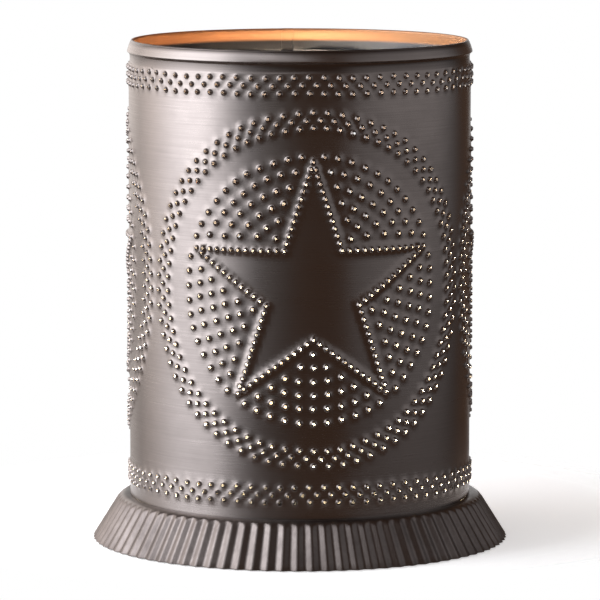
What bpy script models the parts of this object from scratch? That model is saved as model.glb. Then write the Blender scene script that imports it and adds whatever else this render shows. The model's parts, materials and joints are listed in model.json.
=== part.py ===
"""Candle warmer: a punched-tin sleeve on a fluted pan, with a hot plate and a night-light bulb inside.

Metres, +Z up. The feet stand on z = 0, the object's axis is the Z axis, and its front faces -Y.
"""

import math

import bmesh
import bpy
from mathutils import Vector
from mathutils.geometry import delaunay_2d_cdt, interpolate_bezier

# Clearances
GAP = 0.0003  # between pieces that touch or rest on each other
HOLE_PLAY = 0.0003  # round a rivet, screw or eyelet in its hole
BULB_PLAY = 0.0005  # round the bulb's cap in the socket's shell
HOLE_SIDES = 8

# Pan, a fluted tin turned upside down
PAN_STAND = 0.0005  # its edge above the surface that the feet stand on
PAN_HEIGHT = 0.0180
PAN_LEDGE = 0.0040  # beyond the shade's face, to where the flat top's and the side's lines would meet
PAN_FLARE = 0.0113  # from there to the crests at the foot
PAN_SHEET = 0.0008
PAN_SHOULDER = 0.0032  # from that corner to where the rounding begins
FLUTES = 88
FLUTE_DEPTH = 0.0010
FLUTE_TURN = -0.6  # degrees from +X to the first crest

# Shade, one sheet rolled into a sleeve
SHADE_OUTER_R = 0.0690
SHADE_SHEET = 0.0006
SHADE_HEIGHT = 0.1841
SEAM_LAP = 0.0050
SHADE_COLUMNS = 36  # facets round the sleeve
FILLER_ROWS = 7  # of filler points up the sleeve
FILLER_REACH = 0.0080  # from a filler point to the sheet's other points
FILLER_STRETCH = 3.0  # the sheet bends only across, so its triangles may be this much taller than wide
HEM_HEIGHT = 0.0043
HEM_STAND = 0.0005  # the hem's lower edge beyond the sleeve's face
HEM_LEAN = 0.0014  # the top edge inside the sleeve's face
HEM_FOLD = 0.0005  # radius of the fold at the very top
HEM_STEP = 0.0008  # height of the step under the hem's lower edge
NECK_DROP = 0.0076  # below the top edge
NECK_DEPTH = 0.0005
NECK_TAPER = 0.0001
RIM_DROP = 0.0100  # where the plain wall begins

# Punched star, in the flattened sheet
MEDALLIONS = 3
MEDALLION_TURN = 4.4  # degrees from the front towards +X
STAR_POINTS = 5
STAR_INSET = 0.0161  # of the tips from the middle of the ring round them
STAR_PITCH = 0.00305  # from hole to hole along the star's edges
PUNCH_R = 0.00074  # corner radius of a three-sided hole with the real hole's area

# Metal raised by the punching: along the star's edges, and in bands that stand for three rows of dots each
STAR_RISE = 0.0004
BAND_RISE = 0.0006
BAND_HALF = 0.0039  # half its width, across its flat top
BAND_FLANK = 0.0009
RING_APART = 0.0008  # from a ring's foot to halfway to the next ring
RING_CORNERS = 28
LOW_BAND = 0.0096  # from the shade's foot to the band's middle
HIGH_BAND = 0.0136  # from the top edge to the band's middle

# Hot plate
HEATER_Y = 0.0140  # its axis, behind the object's
PLATE_R = 0.0460
PLATE_SHEET = 0.0015
PLATE_SKIRT = 0.0060
PLATE_EDGE = 0.0010
PLATE_TOP = 0.0150  # its face above the pan's top
PLATE_OVERHANG = 0.0080  # beyond the housing
HOUSING_SHEET = 0.0008
HOUSING_HEIGHT = 0.0110
STUD_R = 0.0020
STUD_TAIL = 0.0055  # below the pan's sheet
NUT_R = 0.0040
NUT_HEIGHT = 0.0032
MICA_INSET = 0.0035  # from the housing's outside
MICA_THICK = 0.0005
ELEMENT_INSET = 0.0015  # from the mica's edge
ELEMENT_THICK = 0.0012
PRESSURE_R = 0.0200
PRESSURE_THICK = 0.0012
FUSE_R = 0.0020
FUSE_LENGTH = 0.0115
FUSE_X = 0.0120

# Lamp socket and bulb
LAMP_X = -0.0096
LAMP_Y = -0.0480
STRAP_LENGTH = 0.0400
STRAP_WIDTH = 0.0110
STRAP_SHEET = 0.0010
STRAP_STEP = 0.0035  # height of its raised middle's top face above the pan's top
STRAP_MIDDLE = 0.0240
SOCKET_R = 0.0095
SOCKET_HEIGHT = 0.0230
SOCKET_FLOOR = 0.0050
SOCKET_WALL = 0.0022
SOCKET_EDGE = 0.0010
SHELL_SHEET = 0.0005
SHELL_DROP = 0.0010  # of its top below the socket's
CONTACT_WIDTH = 0.0040
CONTACT_SHEET = 0.0006
CONTACT_RISE = 0.0014  # of its sprung end
CONTACT_PLAY = 0.0010  # between its ends and the shell
EYELET_R = 0.0030
EYELET_BORE = 0.0022
EYELET_LIP = 0.0008
BULB_CAP_LENGTH = 0.0125
BULB_CAP_SHEET = 0.0006
BULB_THREADS = 4
BULB_THREAD_DEPTH = 0.0004
BULB_GLASS_R = 0.0110
BULB_GLASS_LENGTH = 0.0400
BULB_GLASS_WALL = 0.0008
BULB_NECK_R = 0.0043
BULB_TIP_R = 0.0022
BULB_TIP_LENGTH = 0.0016
BULB_DISC_R = 0.0027
BULB_DISC_HEIGHT = 0.0020
BULB_STEM_R = 0.0018
BULB_STEM_LENGTH = 0.0170
FILAMENT_WIRE = 0.0004
FILAMENT_SPAN = 0.0080
FILAMENT_RISE = 0.0090
FILAMENT_FOOT = 0.0012

# Bottom cover, its posts, screws and feet
FOOT_R = 0.0065
FOOT_TAPER = 0.0012
FOOT_HEIGHT = 0.0027
FOOT_INSET = 0.0070  # of the feet's circle from the pan's corner
FOOT_TURN = 52.0  # degrees from +X to the first foot
FEET = 4
COVER_SHEET = 0.0010
COVER_PLAY = 0.0010  # between its edge and the pan's skirt
POST_INSET = 0.0130  # of the posts' circle from the pan's corner
POST_TURNS = (30.0, 150.0, 285.0)  # degrees from +X
POST_R = 0.0040
POST_SHANK_R = 0.0018
POST_BORE_R = 0.0014
POST_BORE_DEPTH = 0.0070
RIVET_HEAD_R = 0.0030
RIVET_HEAD = 0.0011
HEAD_CROWN = 0.7  # radius of a head's flat crown, as a share of the head's
TAIL_SPREAD = 0.8  # radius of a rivet's tail, as a share of the head's
RIVET_SHANK_R = 0.0014
SCREW_HEAD_R = 0.0030
SCREW_HEAD = 0.0012
SCREW_LENGTH = 0.0070

# Tabs that keep the sleeve centred
TAB_TURNS = (90.0, 210.0, 330.0)
TAB_WIDTH = 0.0080
TAB_HEIGHT = 0.0090
TAB_FOOT = 0.0090
TAB_SHEET = 0.0008

# Leads, splices, bushing and grommet
LEAD_R = 0.0008
LEAD_POINTS = 3  # read between two chosen points of its route
LEAD_BEND = 0.0280  # along the lamp's leads to their lowest place
LEAD_SAG = 0.0030
LEAD_SWAY = 0.0030  # sideways, halfway to the lamp
LEAD_EASE = 0.0008  # sideways, near the lamp
LEAD_SWING = 0.0100  # along the heater's leads to where they have spread
LEAD_SPREAD = 0.0030
LEAD_CROSS = 0.0050  # sideways, halfway to the heater
LEAD_LIFT = 0.0015  # where they turn up to the heater
LEAD_TAIL = 0.0035  # of the heater's leads above the pan's top
SPLICE_R = 0.0032
SPLICE_LENGTH = 0.0130
SPLICE_NOSE = 0.0030  # length of its tapered end
SPLICE_NOSE_R = 0.0022
SPLICE_SPREAD = 0.0060  # of each from the middle
SPLICE_Y = 0.0560
SPLICE_DROP = 0.0060  # of its axis below the pan's sheet
BUSHING_R = 0.0050
BUSHING_BORE = 0.0034
BUSHING_GROOVE = 0.0010
BUSHING_LIP = 0.0010
BUSHING_INSET = 0.0140  # of its axis from the housing's outside
GROMMET_R = 0.0050
CORD_WIDTH = 0.0054  # of the flat cord that it takes
CORD_THICK = 0.0027
CORD_PLAY = 0.0002
GROMMET_LIP = 0.0010
GROMMET_FLANGE = 0.0014
GROMMET_DROP = 0.0080  # of its middle below the pan's top

# Sizes that follow
PAN_TOP_R = SHADE_OUTER_R + PAN_LEDGE
PAN_FOOT_R = PAN_TOP_R + PAN_FLARE
PAN_TOP = PAN_STAND + PAN_HEIGHT
PAN_UNDER = PAN_TOP - PAN_SHEET
ON_PAN = PAN_TOP + GAP
SHADE_FOOT = ON_PAN
SHADE_TOP = SHADE_FOOT + SHADE_HEIGHT
SHADE_INNER_R = SHADE_OUTER_R - SHADE_SHEET
MEDALLION_RISE = (LOW_BAND + SHADE_HEIGHT - HIGH_BAND) / 2
BAND_FOOT = BAND_HALF + BAND_FLANK
RING_ROOM = min(math.pi * SHADE_OUTER_R / MEDALLIONS, MEDALLION_RISE - LOW_BAND - BAND_FOOT)
RING_R = RING_ROOM - RING_APART - BAND_FOOT
STAR_R = RING_R - STAR_INSET
STAR_NOTCH_R = STAR_R * math.cos(math.tau / STAR_POINTS) / math.cos(math.pi / STAR_POINTS)
COVER_UNDER = FOOT_HEIGHT + GAP
COVER_TOP = COVER_UNDER + COVER_SHEET
SLOPE = math.atan2(PAN_FLARE, PAN_HEIGHT)
PAN_WALL = (PAN_SHEET + FLUTE_DEPTH) / math.cos(SLOPE)
HOUSING_R = PLATE_R - PLATE_OVERHANG
BUSHING_X = HOUSING_R - BUSHING_INSET
MICA_R = HOUSING_R - MICA_INSET
ELEMENT_R = MICA_R - ELEMENT_INSET
POST_RING_R = PAN_TOP_R - POST_INSET
FOOT_RING_R = PAN_TOP_R - FOOT_INSET
PLATE_FACE = PAN_TOP + PLATE_TOP
PLATE_UNDER = PLATE_FACE - PLATE_SHEET
STRAP_TOP = PAN_TOP + STRAP_STEP
SOCKET_FOOT = STRAP_TOP + GAP
SOCKET_TOP = SOCKET_FOOT + SOCKET_HEIGHT
SHELL_OUTER_R = SOCKET_R - SOCKET_WALL - GAP
SHELL_INNER_R = SHELL_OUTER_R - SHELL_SHEET
BULB_CAP_R = SHELL_INNER_R - BULB_PLAY

STEEL = ((0.16, 0.14, 0.13, 1), 0.35, 1.0)
BRASS = ((0.62, 0.46, 0.20, 1), 0.35, 1.0)
ZINC = ((0.60, 0.60, 0.58, 1), 0.40, 1.0)
ALUMINIUM = ((0.72, 0.72, 0.72, 1), 0.40, 1.0)
RUBBER = ((0.02, 0.02, 0.02, 1), 0.80, 0.0)
PHENOLIC = ((0.03, 0.03, 0.03, 1), 0.45, 0.0)
MICA = ((0.55, 0.45, 0.28, 1), 0.60, 0.0)
GLASS = ((0.90, 0.90, 0.88, 1), 0.10, 0.0)
NYLON = ((0.80, 0.78, 0.72, 1), 0.50, 0.0)


def clear_scene():
    for obj in list(bpy.data.objects):
        bpy.data.objects.remove(obj)


def dress(obj, look):
    """Gives the object a material of its own."""
    colour, roughness, metallic = look
    made = bpy.data.materials.new(obj.name)
    made.use_nodes = True
    shader = made.node_tree.nodes["Principled BSDF"]
    shader.inputs["Base Color"].default_value = colour
    shader.inputs["Roughness"].default_value = roughness
    shader.inputs["Metallic"].default_value = metallic
    obj.data.materials.append(made)


def placed(name, bm, look, place=(0, 0, 0), turn=(0, 0, 0)):
    """An object of this mesh, with its faces turned outwards."""
    bmesh.ops.recalc_face_normals(bm, faces=bm.faces)
    mesh = bpy.data.meshes.new(name)
    bm.to_mesh(mesh)
    bm.free()
    obj = bpy.data.objects.new(name, mesh)
    bpy.context.scene.collection.objects.link(obj)
    obj.location = place
    obj.rotation_euler = turn
    dress(obj, look)
    return obj


def smooth(obj, degrees=35):
    """Round pieces shade smoothly, but for their edges."""
    obj.data.shade_smooth()
    obj.data.set_sharp_from_angle(angle=math.radians(degrees))
    return obj


def turned(name, profile, sides, look, closed=False, **placing):
    """A solid of revolution from (radius, height) points. Closed joins the last one to the first."""
    bm = bmesh.new()
    rings = []
    for radius, height in profile:
        if radius == 0:
            rings.append([bm.verts.new((0, 0, height))])
            continue
        angles = [math.tau * i / sides for i in range(sides)]
        rings.append([bm.verts.new((radius * math.cos(a), radius * math.sin(a), height)) for a in angles])
    pairs = list(zip(rings, rings[1:]))
    if closed:
        pairs.append((rings[-1], rings[0]))
    for low, high in pairs:
        if len(low) == len(high) == 1:
            continue
        for i in range(sides):
            n = i + 1
            corners = [low[i % len(low)], low[n % len(low)], high[n % len(high)], high[i % len(high)]]
            bm.faces.new(list(dict.fromkeys(corners)))
    return smooth(placed(name, bm, look, **placing))


def extruded(name, outline, depth, look, **placing):
    """An outline in X and Z, extruded by depth along Y and centred on it."""
    bm = bmesh.new()
    near = [bm.verts.new((x, -depth / 2, z)) for x, z in outline]
    far = [bm.verts.new((x, depth / 2, z)) for x, z in outline]
    bm.faces.new(near)
    bm.faces.new(far[::-1])
    for i in range(len(outline)):
        j = (i + 1) % len(outline)
        bm.faces.new([near[j], near[i], far[i], far[j]])
    return placed(name, bm, look, **placing)


def rod(radius, low, high):
    """Profile of a plain cylinder."""
    return [(0, low), (radius, low), (radius, high), (0, high)]


def washer(inner, outer, low, high):
    """Closed profile of a flat ring."""
    return [(inner, low), (outer, low), (outer, high), (inner, high)]


def cut_by(obj, cutter):
    """Takes the cutter's shape out of the object, and keeps the cutter out of the part."""
    cutter.hide_render = True
    cutter.display_type = "WIRE"
    boring = obj.modifiers.new("bore", "BOOLEAN")
    boring.operation = "DIFFERENCE"
    boring.solver = "EXACT"
    boring.object = cutter


def cut(obj, radius, place, reach, turn=(0, 0, 0)):
    """Bores a round hole through the object, with the flats of its facets at this radius."""
    corner = radius / math.cos(math.pi / HOLE_SIDES)
    profile = rod(corner, -reach, reach)
    cut_by(obj, turned(obj.name + "_cutter", profile, HOLE_SIDES, STEEL, place=place, turn=turn))


def on_ring(radius, degrees, height):
    angle = math.radians(degrees)
    return (radius * math.cos(angle), radius * math.sin(angle), height)


def ring_of(bm, radii, height):
    """Vertices round the axis, one for each of (angle share, radius)."""
    made = []
    for share, radius in radii:
        angle = math.tau * share
        made.append(bm.verts.new((radius * math.cos(angle), radius * math.sin(angle), height)))
    return made


def even(count, radius):
    """Places round the pan, in line with its crests."""
    first = FLUTE_TURN / 360
    return [(first + i / count, radius) for i in range(count)]


def fluted(crest_radius, depth):
    """A crest and a valley to each flute."""
    places = even(2 * FLUTES, crest_radius)
    return [(share, radius - depth * (i % 2)) for i, (share, radius) in enumerate(places)]


def band(bm, low, high):
    """Faces between two rings, of which one may have several vertices to each of the other's."""
    few, many = sorted((low, high), key=len)
    times = len(many) // len(few)
    for i, start in enumerate(few):
        after = few[(i + 1) % len(few)]
        run = [many[(i * times + k) % len(many)] for k in range(times + 1)]
        if times == 1:
            bm.faces.new([start, after, run[1], run[0]])
            continue
        turn_at = times // 2 + 1
        for k in range(times):
            bm.faces.new([start if k < turn_at else after, run[k], run[k + 1]])
        bm.faces.new([start, after, run[turn_at]])


def skirt_radius(height):
    """Crest radius of the pan's side at this height."""
    return PAN_TOP_R + (PAN_TOP - height) * math.tan(SLOPE)


def make_pan():
    bm = bmesh.new()
    lean = PAN_SHOULDER * math.cos(SLOPE)
    out = PAN_SHOULDER * math.sin(SLOPE)
    rounding = PAN_SHOULDER / 4
    top = ring_of(bm, even(FLUTES // 2, PAN_TOP_R - PAN_SHOULDER), PAN_TOP)
    shoulder = ring_of(bm, even(FLUTES, PAN_TOP_R - rounding), PAN_TOP - rounding)
    side = ring_of(bm, fluted(PAN_TOP_R + out, FLUTE_DEPTH), PAN_TOP - lean)
    foot = ring_of(bm, fluted(PAN_FOOT_R, FLUTE_DEPTH), PAN_STAND)
    inner_foot = ring_of(bm, even(FLUTES // 2, PAN_FOOT_R - PAN_WALL), PAN_STAND)
    inner_side = ring_of(bm, even(FLUTES // 2, skirt_radius(PAN_TOP - lean) - PAN_WALL), PAN_TOP - lean)
    inner_top = ring_of(bm, even(FLUTES // 2, PAN_TOP_R - PAN_SHOULDER), PAN_UNDER)
    rings = (top, shoulder, side, foot, inner_foot, inner_side, inner_top)
    for low, high in zip(rings, rings[1:]):
        band(bm, low, high)
    bm.faces.new(top)
    bm.faces.new(inner_top)
    pan = placed("pan", bm, STEEL)
    smooth(pan, 20)
    through = 2 * PAN_SHEET
    cut(pan, STUD_R + HOLE_PLAY, (0, HEATER_Y, PAN_TOP), through)
    cut(pan, BUSHING_R - BUSHING_GROOVE + HOLE_PLAY, (BUSHING_X, HEATER_Y, PAN_TOP), through)
    cut(pan, EYELET_R + HOLE_PLAY, (LAMP_X, LAMP_Y, PAN_TOP), through)
    for x in strap_rivets():
        cut(pan, RIVET_SHANK_R + HOLE_PLAY, (x, LAMP_Y, PAN_TOP), through)
    for degrees in POST_TURNS:
        cut(pan, POST_SHANK_R + HOLE_PLAY, on_ring(POST_RING_R, degrees, PAN_TOP), through)
    for degrees in TAB_TURNS:
        cut(pan, RIVET_SHANK_R + HOLE_PLAY, on_ring(tab_rivet_radius(), degrees, PAN_TOP), through)
    cut(pan, GROMMET_R - GROMMET_LIP + HOLE_PLAY, grommet_place(), 3 * PAN_WALL, grommet_turn())


def star_outline():
    """Corners of the star, tips and notches by turns, from the top tip."""
    corners = []
    for i in range(2 * STAR_POINTS):
        radius = STAR_NOTCH_R if i % 2 else STAR_R
        angle = math.pi * i / STAR_POINTS
        corners.append(Vector((radius * math.sin(angle), radius * math.cos(angle))))
    return corners


def star_punches():
    """Middles of the holes along the star's edges, one on every tip and notch."""
    corners = star_outline()
    places = []
    for start, end in zip(corners, corners[1:] + corners[:1]):
        steps = max(1, round((end - start).length / STAR_PITCH))
        places += [start.lerp(end, i / steps) for i in range(steps)]
    return places


def ring_loops(middle):
    """(rise, points) of the four edges of a star's ring, with corners crowded where they run across."""
    turns = [math.tau * i / RING_CORNERS for i in range(RING_CORNERS)]
    angles = [turn - math.sin(2 * turn) / 8 for turn in turns]
    loops = []
    for rise, half in ((BAND_RISE, BAND_HALF), (0.0, BAND_FOOT)):
        for radius in (RING_R - half, RING_R + half):
            loops.append((rise, [middle + radius * Vector((math.sin(a), math.cos(a))) for a in angles]))
    return loops


def band_rows():
    """(rise, height) of the edges of the bands near the shade's foot and its top."""
    high = SHADE_HEIGHT - HIGH_BAND - BAND_HALF
    return [
        (0.0, LOW_BAND - BAND_FOOT),
        (BAND_RISE, LOW_BAND - BAND_HALF),
        (BAND_RISE, LOW_BAND + BAND_HALF),
        (0.0, LOW_BAND + BAND_FOOT),
        (0.0, high - BAND_FLANK),
        (BAND_RISE, high),
    ]


class Blank:
    """A face of the sheet laid flat, X round the sleeve and Y up it, with each point's rise above it."""

    def __init__(self, columns):
        self.columns = columns
        self.points = []
        self.rises = []
        self.edges = []
        self.holes = []

    def add(self, run, rise):
        """Keeps these points, and says which ones they are."""
        first = len(self.points)
        self.points.extend(run)
        self.rises.extend([rise] * len(run))
        return list(range(first, len(self.points)))

    def add_row(self, rise, y):
        row = self.add([Vector((x, y)) for x in self.columns], rise)
        self.edges += zip(row, row[1:])

    def add_loop(self, rise, loop):
        ring = self.add(loop, rise)
        self.edges += zip(ring, ring[1:] + ring[:1])

    def add_hole(self, middle):
        spokes = [math.tau * i / 3 for i in range(3)]
        corners = [middle + PUNCH_R * Vector((-math.sin(a), math.cos(a))) for a in spokes]
        self.holes.append(self.add(corners, STAR_RISE))

    def is_bare(self, place):
        """Whether the sheet bends enough between this place and the points for it to need one."""
        for point in self.points:
            away = place - point
            if math.hypot(away.x, away.y / FILLER_STRETCH) < FILLER_REACH:
                return False
        return True

    def triangles(self):
        """The sheet's triangles without its holes, each as three of the points."""
        squat = [Vector((point.x, point.y / FILLER_STRETCH)) for point in self.points]
        _, _, faces, origins, _, sources = delaunay_2d_cdt(squat, self.edges, self.holes, 0, 1e-9, True)
        known = [origin[0] for origin in origins]
        return [[known[i] for i in face] for face, source in zip(faces, sources) if not source]


def flat_blank(middles, banded):
    """The sheet with its punched stars, and on its outer face with the raised bands."""
    width = math.tau * SHADE_OUTER_R
    height = SHADE_HEIGHT - RIM_DROP
    blank = Blank(seam_columns(width))
    blank.add_row(0.0, 0.0)
    blank.add_row(BAND_RISE if banded else 0.0, height)
    for middle in middles:
        for place in star_punches():
            blank.add_hole(middle + place)
    if banded:
        for rise, y in band_rows():
            blank.add_row(rise, y)
        for middle in middles:
            for rise, loop in ring_loops(middle):
                blank.add_loop(rise, loop)
    for i in range(1, FILLER_ROWS + 1):
        for x in blank.columns:
            place = Vector((x, height * i / (FILLER_ROWS + 1)))
            if min(x, width - x) <= SEAM_LAP or blank.is_bare(place):
                in_ring = any(abs((place - middle).length - RING_R) < BAND_HALF for middle in middles)
                blank.add([place], BAND_RISE if banded and in_ring else 0.0)
    return blank


def seam_columns(width):
    """Places round the sleeve that carry points: even ones, and the edges of the seam's lap."""
    evenly = [width * i / SHADE_COLUMNS for i in range(SHADE_COLUMNS + 1)]
    edge = SEAM_LAP / 2
    return sorted(evenly + [edge, edge + SHADE_SHEET, width - edge, width - edge - SHADE_SHEET])


def lapped(x, width):
    """How far the seam's lap stands out at this place round the sleeve."""
    return SHADE_SHEET if min(x, width - x) <= SEAM_LAP / 2 + 1e-6 else 0.0


def rim_profile():
    """(outward, drop below the top edge) from the plain wall over the hem to the inside of the wall."""
    return [
        (-NECK_DEPTH, NECK_DROP),
        (-NECK_DEPTH + NECK_TAPER, HEM_HEIGHT + HEM_STEP),
        (HEM_STAND, HEM_HEIGHT),
        (-HEM_LEAN + HEM_FOLD, HEM_FOLD),
        (-HEM_LEAN - HEM_FOLD / 2, 0.0),
        (-HEM_LEAN - 2 * HEM_FOLD, HEM_FOLD),
        (-NECK_DEPTH - SHADE_SHEET, NECK_DROP),
    ]


def make_shade():
    """Rolls the pierced blank, gives it thickness and closes it over the rim."""
    width = math.tau * SHADE_OUTER_R
    third = width / MEDALLIONS
    middles = [Vector(((i + 0.5) * third, MEDALLION_RISE)) for i in range(MEDALLIONS)]
    seam_turn = math.radians(90 + MEDALLION_TURN)
    bm = bmesh.new()

    def rolled(x, radius, z):
        angle = seam_turn + x / SHADE_OUTER_R
        return bm.verts.new((radius * math.cos(angle), radius * math.sin(angle), z))

    def spot(point):
        """A key that the sheet's two ends share, to the micrometre."""
        x = 0.0 if point.x > width - 1e-6 else point.x
        return (round(x * 1e6), round(point.y * 1e6))

    def rolled_face(radius, outer):
        """Vertices of one face of the sheet, by their spots."""
        blank = flat_blank(middles, outer)
        made = {}
        for point, rise in zip(blank.points, blank.rises):
            if spot(point) not in made:
                stand = rise + (lapped(point.x, width) if outer else 0.0)
                made[spot(point)] = rolled(point.x, radius + stand, SHADE_FOOT + point.y)
        for triangle in blank.triangles():
            bm.faces.new([made[spot(blank.points[i])] for i in triangle])
        return made

    outside = rolled_face(SHADE_OUTER_R, True)
    inside = rolled_face(SHADE_INNER_R, False)
    columns = seam_columns(width)[:-1]
    top_row = [spot(Vector((x, SHADE_HEIGHT - RIM_DROP))) for x in columns]
    rings = [[outside[corner] for corner in top_row]]
    for outward, drop in rim_profile():
        rings.append([rolled(x, SHADE_OUTER_R + outward, SHADE_TOP - drop) for x in columns])
    rings.append([inside[corner] for corner in top_row])
    for low, high in zip(rings, rings[1:]):
        band(bm, low, high)
    partner = {vertex: inside[corner] for corner, vertex in outside.items() if corner in inside}
    for edge in [edge for edge in bm.edges if edge.is_boundary]:
        first, second = edge.verts
        if first in partner and second in partner:
            bm.faces.new([first, second, partner[second], partner[first]])
    smooth(placed("shade", bm, STEEL), 25)


def make_hot_plate():
    here = (0, HEATER_Y, 0)
    skirt = PLATE_R - PLATE_SHEET
    profile = [
        (0, PLATE_FACE),
        (PLATE_R - PLATE_EDGE, PLATE_FACE),
        (PLATE_R, PLATE_FACE - PLATE_EDGE),
        (PLATE_R, PLATE_FACE - PLATE_SKIRT),
        (skirt, PLATE_FACE - PLATE_SKIRT),
        (skirt, PLATE_UNDER),
        (0, PLATE_UNDER),
    ]
    turned("hot_plate", profile, 28, ALUMINIUM, place=here)
    floor_top = ON_PAN + HOUSING_SHEET
    rim = ON_PAN + HOUSING_HEIGHT
    inside = HOUSING_R - HOUSING_SHEET
    housing = [
        (0, ON_PAN),
        (HOUSING_R, ON_PAN),
        (HOUSING_R, rim),
        (inside, rim),
        (inside, floor_top),
        (0, floor_top),
    ]
    made = turned("heater_housing", housing, 24, ZINC, place=here)
    cut(made, STUD_R + HOLE_PLAY, (0, HEATER_Y, ON_PAN), 2 * HOUSING_SHEET)
    cut(made, BUSHING_R + GAP, (BUSHING_X, HEATER_Y, ON_PAN), 2 * HOUSING_SHEET)
    upper = PLATE_UNDER - GAP
    bore = STUD_R + HOLE_PLAY
    for name, outer, thick, look in (
        ("upper_mica", MICA_R, MICA_THICK, MICA),
        ("heating_element", ELEMENT_R, ELEMENT_THICK, ZINC),
        ("lower_mica", MICA_R, MICA_THICK, MICA),
        ("pressure_plate", PRESSURE_R, PRESSURE_THICK, ZINC),
    ):
        turned(name, washer(bore, outer, upper - thick, upper), 14, look, closed=True, place=here)
        upper -= thick + GAP
    nut_bore = STUD_R + GAP
    turned("clamp_nut", washer(nut_bore, NUT_R, upper - NUT_HEIGHT, upper), 6, ZINC, closed=True, place=here)
    low = PAN_UNDER - GAP
    turned("fixing_nut", washer(nut_bore, NUT_R, low - NUT_HEIGHT, low), 6, ZINC, closed=True, place=here)
    turned("plate_stud", rod(STUD_R, PAN_UNDER - STUD_TAIL, PLATE_UNDER - GAP), 10, ZINC, place=here)
    end = FUSE_LENGTH / 2
    tip = FUSE_R / 2
    shoulder = end - tip
    fuse = [(0, -end), (tip, -end), (FUSE_R, -shoulder), (FUSE_R, shoulder), (tip, end), (0, end)]
    place = (FUSE_X, HEATER_Y, upper - FUSE_R)
    turned("thermal_fuse", fuse, 8, ZINC, place=place, turn=(math.pi / 2, 0, 0))


def strap_rivets():
    reach = (STRAP_LENGTH + STRAP_MIDDLE) / 4
    return (LAMP_X - reach, LAMP_X + reach)


def make_socket():
    half = STRAP_LENGTH / 2
    middle = STRAP_MIDDLE / 2
    low = ON_PAN
    high = STRAP_TOP
    sheet = STRAP_SHEET
    outline = [
        (-half, low),
        (-middle + sheet, low),
        (-middle + sheet, high - sheet),
        (middle - sheet, high - sheet),
        (middle - sheet, low),
        (half, low),
        (half, low + sheet),
        (middle, low + sheet),
        (middle, high),
        (-middle, high),
        (-middle, low + sheet),
        (-half, low + sheet),
    ]
    here = (LAMP_X, LAMP_Y, 0)
    strap = extruded("socket_strap", outline, STRAP_WIDTH, ZINC, place=here)
    cut(strap, EYELET_R + HOLE_PLAY, (LAMP_X, LAMP_Y, high), 2 * sheet)
    for i, x in enumerate(strap_rivets()):
        cut(strap, RIVET_SHANK_R + HOLE_PLAY, (x, LAMP_Y, low), 2 * sheet)
        rivet(f"strap_rivet_{i + 1}", (x, LAMP_Y, 0), low + sheet)
    bore = SOCKET_R - SOCKET_WALL
    floor_top = SOCKET_FOOT + SOCKET_FLOOR
    eyelet_hole = EYELET_R + HOLE_PLAY
    body = [
        (eyelet_hole, SOCKET_FOOT),
        (SOCKET_R - SOCKET_EDGE, SOCKET_FOOT),
        (SOCKET_R, SOCKET_FOOT + SOCKET_EDGE),
        (SOCKET_R, SOCKET_TOP),
        (bore, SOCKET_TOP),
        (bore, floor_top),
        (eyelet_hole, floor_top),
    ]
    turned("lamp_socket", body, 16, PHENOLIC, closed=True, place=here)
    shell_low = floor_top + GAP
    shell_high = SOCKET_TOP - SHELL_DROP
    shell = washer(SHELL_INNER_R, SHELL_OUTER_R, shell_low, shell_high)
    turned("socket_shell", shell, 16, BRASS, closed=True, place=here)
    lip = EYELET_R + EYELET_LIP
    low_end = PAN_UNDER - GAP - EYELET_LIP
    high_end = floor_top + GAP + EYELET_LIP
    eyelet = [
        (EYELET_BORE, low_end),
        (lip, low_end),
        (lip, low_end + EYELET_LIP),
        (EYELET_R, low_end + EYELET_LIP),
        (EYELET_R, high_end - EYELET_LIP),
        (lip, high_end - EYELET_LIP),
        (lip, high_end),
        (EYELET_BORE, high_end),
    ]
    turned("socket_eyelet", eyelet, 10, BRASS, closed=True, place=here)
    rise = high_end + GAP
    reach = SHELL_INNER_R - CONTACT_PLAY
    crown = rise + CONTACT_RISE
    contact = [
        (-reach, rise),
        (-reach / 3, rise),
        (reach / 2, crown),
        (reach / 2, crown + CONTACT_SHEET),
        (-reach / 3 - CONTACT_SHEET, rise + CONTACT_SHEET),
        (-reach, rise + CONTACT_SHEET),
    ]
    extruded("centre_contact", contact, CONTACT_WIDTH, BRASS, place=here)
    return crown + CONTACT_SHEET


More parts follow.
